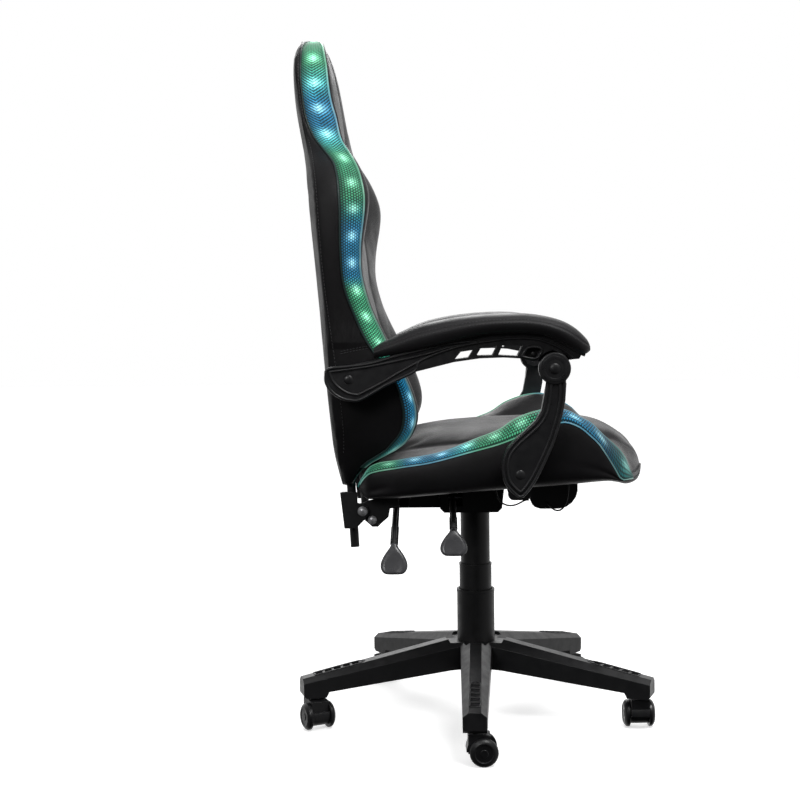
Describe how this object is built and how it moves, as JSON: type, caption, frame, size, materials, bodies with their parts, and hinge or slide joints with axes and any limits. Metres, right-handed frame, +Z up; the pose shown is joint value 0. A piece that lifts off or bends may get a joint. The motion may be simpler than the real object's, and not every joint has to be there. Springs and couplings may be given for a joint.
{
  "type": "gaming chair",
  "caption": "High-back gaming chair on a star base with casters, with gas-lift height, a reclining backrest, linked armrests and light bands along the seat and back edges.",
  "frame": {"origin": "the point on the floor under the gas column's axis, with the seat raised and the backrest upright", "axes": "+Z up along the column, +X towards the sitter's front, +Y towards the sitter's left; the two levers are on the -Y side"},
  "size_m": [0.667, 0.6739, 1.289],
  "materials": {
    "base_nylon": "satin glass-filled nylon",
    "column_steel": "black powder coat",
    "bright_steel": "zinc-plated",
    "cover_plastic": "satin",
    "hood_plastic": "satin",
    "wheel_nylon": "semi-gloss nylon",
    "black_steel": "black powder coat",
    "dome_steel": "polished nickel plate",
    "lever_rubber": "matte ribbed",
    "paddle_plastic": "satin",
    "plywood": "raw",
    "foam": "moulded foam",
    "black_leather": "soft grained synthetic leather",
    "light_mesh": "ribbed mesh lit from behind",
    "led_white": "lit lamp",
    "box_plastic": "matte",
    "lead_pvc": "matte",
    "arm_plastic": "satin"
  },
  "bodies": {
    "base": {"star_base": "base_nylon", "outer_column": "column_steel", "column_bearings": "bright_steel", "lower_cover": "cover_plastic", "caster_sleeves": "hood_plastic"},
    "caster_1": {"caster_1_hood": "hood_plastic", "caster_1_pins": "bright_steel"},
    "caster_1_wheel_left": {"caster_1_wheel_left": "wheel_nylon"},
    "caster_1_wheel_right": {"caster_1_wheel_right": "wheel_nylon"},
    "caster_2": {"caster_2_hood": "hood_plastic", "caster_2_pins": "bright_steel"},
    "caster_2_wheel_left": {"caster_2_wheel_left": "wheel_nylon"},
    "caster_2_wheel_right": {"caster_2_wheel_right": "wheel_nylon"},
    "caster_3": {"caster_3_hood": "hood_plastic", "caster_3_pins": "bright_steel"},
    "caster_3_wheel_left": {"caster_3_wheel_left": "wheel_nylon"},
    "caster_3_wheel_right": {"caster_3_wheel_right": "wheel_nylon"},
    "caster_4": {"caster_4_hood": "hood_plastic", "caster_4_pins": "bright_steel"},
    "caster_4_wheel_left": {"caster_4_wheel_left": "wheel_nylon"},
    "caster_4_wheel_right": {"caster_4_wheel_right": "wheel_nylon"},
    "caster_5": {"caster_5_hood": "hood_plastic", "caster_5_pins": "bright_steel"},
    "caster_5_wheel_left": {"caster_5_wheel_left": "wheel_nylon"},
    "caster_5_wheel_right": {"caster_5_wheel_right": "wheel_nylon"},
    "piston": {"piston_rod": "bright_steel"},
    "middle_cover": {"middle_cover": "cover_plastic"},
    "seat": {"pressure_cylinder": "column_steel", "upper_cover": "cover_plastic", "mechanism_housing": "black_steel", "hinge_plates": "black_steel", "pivot_bolts": "dome_steel", "plate_screws": "bright_steel", "support_brackets": "black_steel", "seat_board": "plywood", "seat_foam": "foam", "seat_cover": "black_leather", "seat_light_bands": "light_mesh", "seat_led_strips": "led_white", "control_box": "box_plastic", "led_lead_rear": "lead_pvc", "led_lead_front": "lead_pvc"},
    "valve": {"valve_button": "bright_steel"},
    "height_lever": {"height_lever": "lever_rubber", "height_paddle": "paddle_plastic"},
    "recline_lever": {"recline_lever": "lever_rubber", "recline_paddle": "paddle_plastic", "lock_pawl": "bright_steel"},
    "backrest": {"back_frame": "black_steel", "back_foam": "foam", "back_cover": "black_leather", "back_light_band": "light_mesh", "back_led_strip": "led_white", "arm_bolts": "black_steel"},
    "arm_right": {"arm_right_frame": "arm_plastic", "arm_right_pad": "black_leather"},
    "support_right": {"arm_right_support": "arm_plastic"},
    "arm_left": {"arm_left_frame": "arm_plastic", "arm_left_pad": "black_leather"},
    "support_left": {"arm_left_support": "arm_plastic"}
  },
  "joints": [
    {"name": "caster_1_swivel", "type": "hinge", "parent": "base", "child": "caster_1", "pos_m": [-0.00949, -0.31986, 0.06], "axis": [0, 0, 1], "continuous": true},
    {"name": "caster_1_roll_left", "type": "hinge", "parent": "caster_1", "child": "caster_1_wheel_left", "pos_m": [0.0045, -0.31937, 0.025], "axis": [-0.0349, 0.9994, 0], "continuous": true},
    {"name": "caster_1_roll_right", "type": "hinge", "parent": "caster_1", "child": "caster_1_wheel_right", "pos_m": [0.0045, -0.31937, 0.025], "axis": [-0.0349, 0.9994, 0], "continuous": true},
    {"name": "caster_2_swivel", "type": "hinge", "parent": "base", "child": "caster_2", "pos_m": [0.30127, -0.10787, 0.06], "axis": [0, 0, 1], "continuous": true},
    {"name": "caster_2_roll_left", "type": "hinge", "parent": "caster_2", "child": "caster_2_wheel_left", "pos_m": [0.30078, -0.09388, 0.025], "axis": [-0.9994, -0.0349, 0], "continuous": true},
    {"name": "caster_2_roll_right", "type": "hinge", "parent": "caster_2", "child": "caster_2_wheel_right", "pos_m": [0.30078, -0.09388, 0.025], "axis": [-0.9994, -0.0349, 0], "continuous": true},
    {"name": "caster_3_swivel", "type": "hinge", "parent": "base", "child": "caster_3", "pos_m": [0.19569, 0.25319, 0.06], "axis": [0, 0, 1], "continuous": true},
    {"name": "caster_3_roll_left", "type": "hinge", "parent": "caster_3", "child": "caster_3_wheel_left", "pos_m": [0.20641, 0.26219, 0.025], "axis": [-0.6428, 0.766, 0], "continuous": true},
    {"name": "caster_3_roll_right", "type": "hinge", "parent": "caster_3", "child": "caster_3_wheel_right", "pos_m": [0.20641, 0.26219, 0.025], "axis": [-0.6428, 0.766, 0], "continuous": true},
    {"name": "caster_4_swivel", "type": "hinge", "parent": "base", "child": "caster_4", "pos_m": [-0.18033, 0.26435, 0.06], "axis": [0, 0, 1], "continuous": true},
    {"name": "caster_4_roll_left", "type": "hinge", "parent": "caster_4", "child": "caster_4_wheel_left", "pos_m": [-0.19245, 0.27135, 0.025], "axis": [-0.5, -0.866, 0], "continuous": true},
    {"name": "caster_4_roll_right", "type": "hinge", "parent": "caster_4", "child": "caster_4_wheel_right", "pos_m": [-0.19245, 0.27135, 0.025], "axis": [-0.5, -0.866, 0], "continuous": true},
    {"name": "caster_5_swivel", "type": "hinge", "parent": "base", "child": "caster_5", "pos_m": [-0.30714, -0.08981, 0.06], "axis": [0, 0, 1], "continuous": true},
    {"name": "caster_5_roll_left", "type": "hinge", "parent": "caster_5", "child": "caster_5_wheel_left", "pos_m": [-0.30057, -0.10218, 0.025], "axis": [0.8829, 0.4695, 0], "continuous": true},
    {"name": "caster_5_roll_right", "type": "hinge", "parent": "caster_5", "child": "caster_5_wheel_right", "pos_m": [-0.30057, -0.10218, 0.025], "axis": [0.8829, 0.4695, 0], "continuous": true},
    {"name": "seat_swivel", "type": "hinge", "parent": "base", "child": "piston", "pos_m": [0, 0, 0.09], "axis": [0, 0, 1], "continuous": true},
    {"name": "seat_height", "type": "slide", "parent": "piston", "child": "seat", "axis": [0, 0, 1], "range_m": [-0.085, 0]},
    {"name": "middle_cover_slide", "type": "slide", "parent": "base", "child": "middle_cover", "axis": [0, 0, 1], "range_m": [-0.0425, 0]},
    {"name": "valve_press", "type": "slide", "parent": "seat", "child": "valve", "axis": [0, 0, -1], "range_m": [0, 0.0045]},
    {"name": "height_lever_lift", "type": "hinge", "parent": "seat", "child": "height_lever", "pos_m": [-0.043, -0.05, 0.428], "axis": [-1, 0, 0], "range_deg": [0, 5], "stiffness_Nm_per_rad": 2},
    {"name": "recline_lever_lift", "type": "hinge", "parent": "seat", "child": "recline_lever", "pos_m": [-0.148, -0.05, 0.428], "axis": [-1, 0, 0], "range_deg": [0, 5], "stiffness_Nm_per_rad": 2},
    {"name": "recline", "type": "hinge", "parent": "seat", "child": "backrest", "pos_m": [-0.205, 0, 0.425], "axis": [0, -1, 0], "range_deg": [0, 29]},
    {"name": "arm_right_turn", "type": "hinge", "parent": "backrest", "child": "arm_right", "pos_m": [-0.222, -0.284, 0.665], "axis": [0, -1, 0], "range_deg": [-22.6, 0]},
    {"name": "support_right_turn", "type": "hinge", "parent": "seat", "child": "support_right", "pos_m": [0.072, -0.293, 0.498], "axis": [0, -1, 0], "range_deg": [0, 36.3]},
    {"name": "arm_left_turn", "type": "hinge", "parent": "backrest", "child": "arm_left", "pos_m": [-0.222, 0.284, 0.665], "axis": [0, -1, 0], "range_deg": [-22.6, 0]},
    {"name": "support_left_turn", "type": "hinge", "parent": "seat", "child": "support_left", "pos_m": [0.072, 0.293, 0.498], "axis": [0, -1, 0], "range_deg": [0, 36.3]}
  ],
  "couplings": [
    {"joint": "middle_cover_slide", "follows": "seat_height", "ratio": 0.5},
    {"joint": "valve_press", "follows": "height_lever_lift", "m_per_rad": 0.05},
    {"joint": "arm_right_turn", "follows": "recline", "ratio": -0.775},
    {"joint": "support_right_turn", "follows": "recline", "ratio": 1.246},
    {"joint": "arm_left_turn", "follows": "recline", "ratio": -0.775},
    {"joint": "support_left_turn", "follows": "recline", "ratio": 1.246}
  ]
}
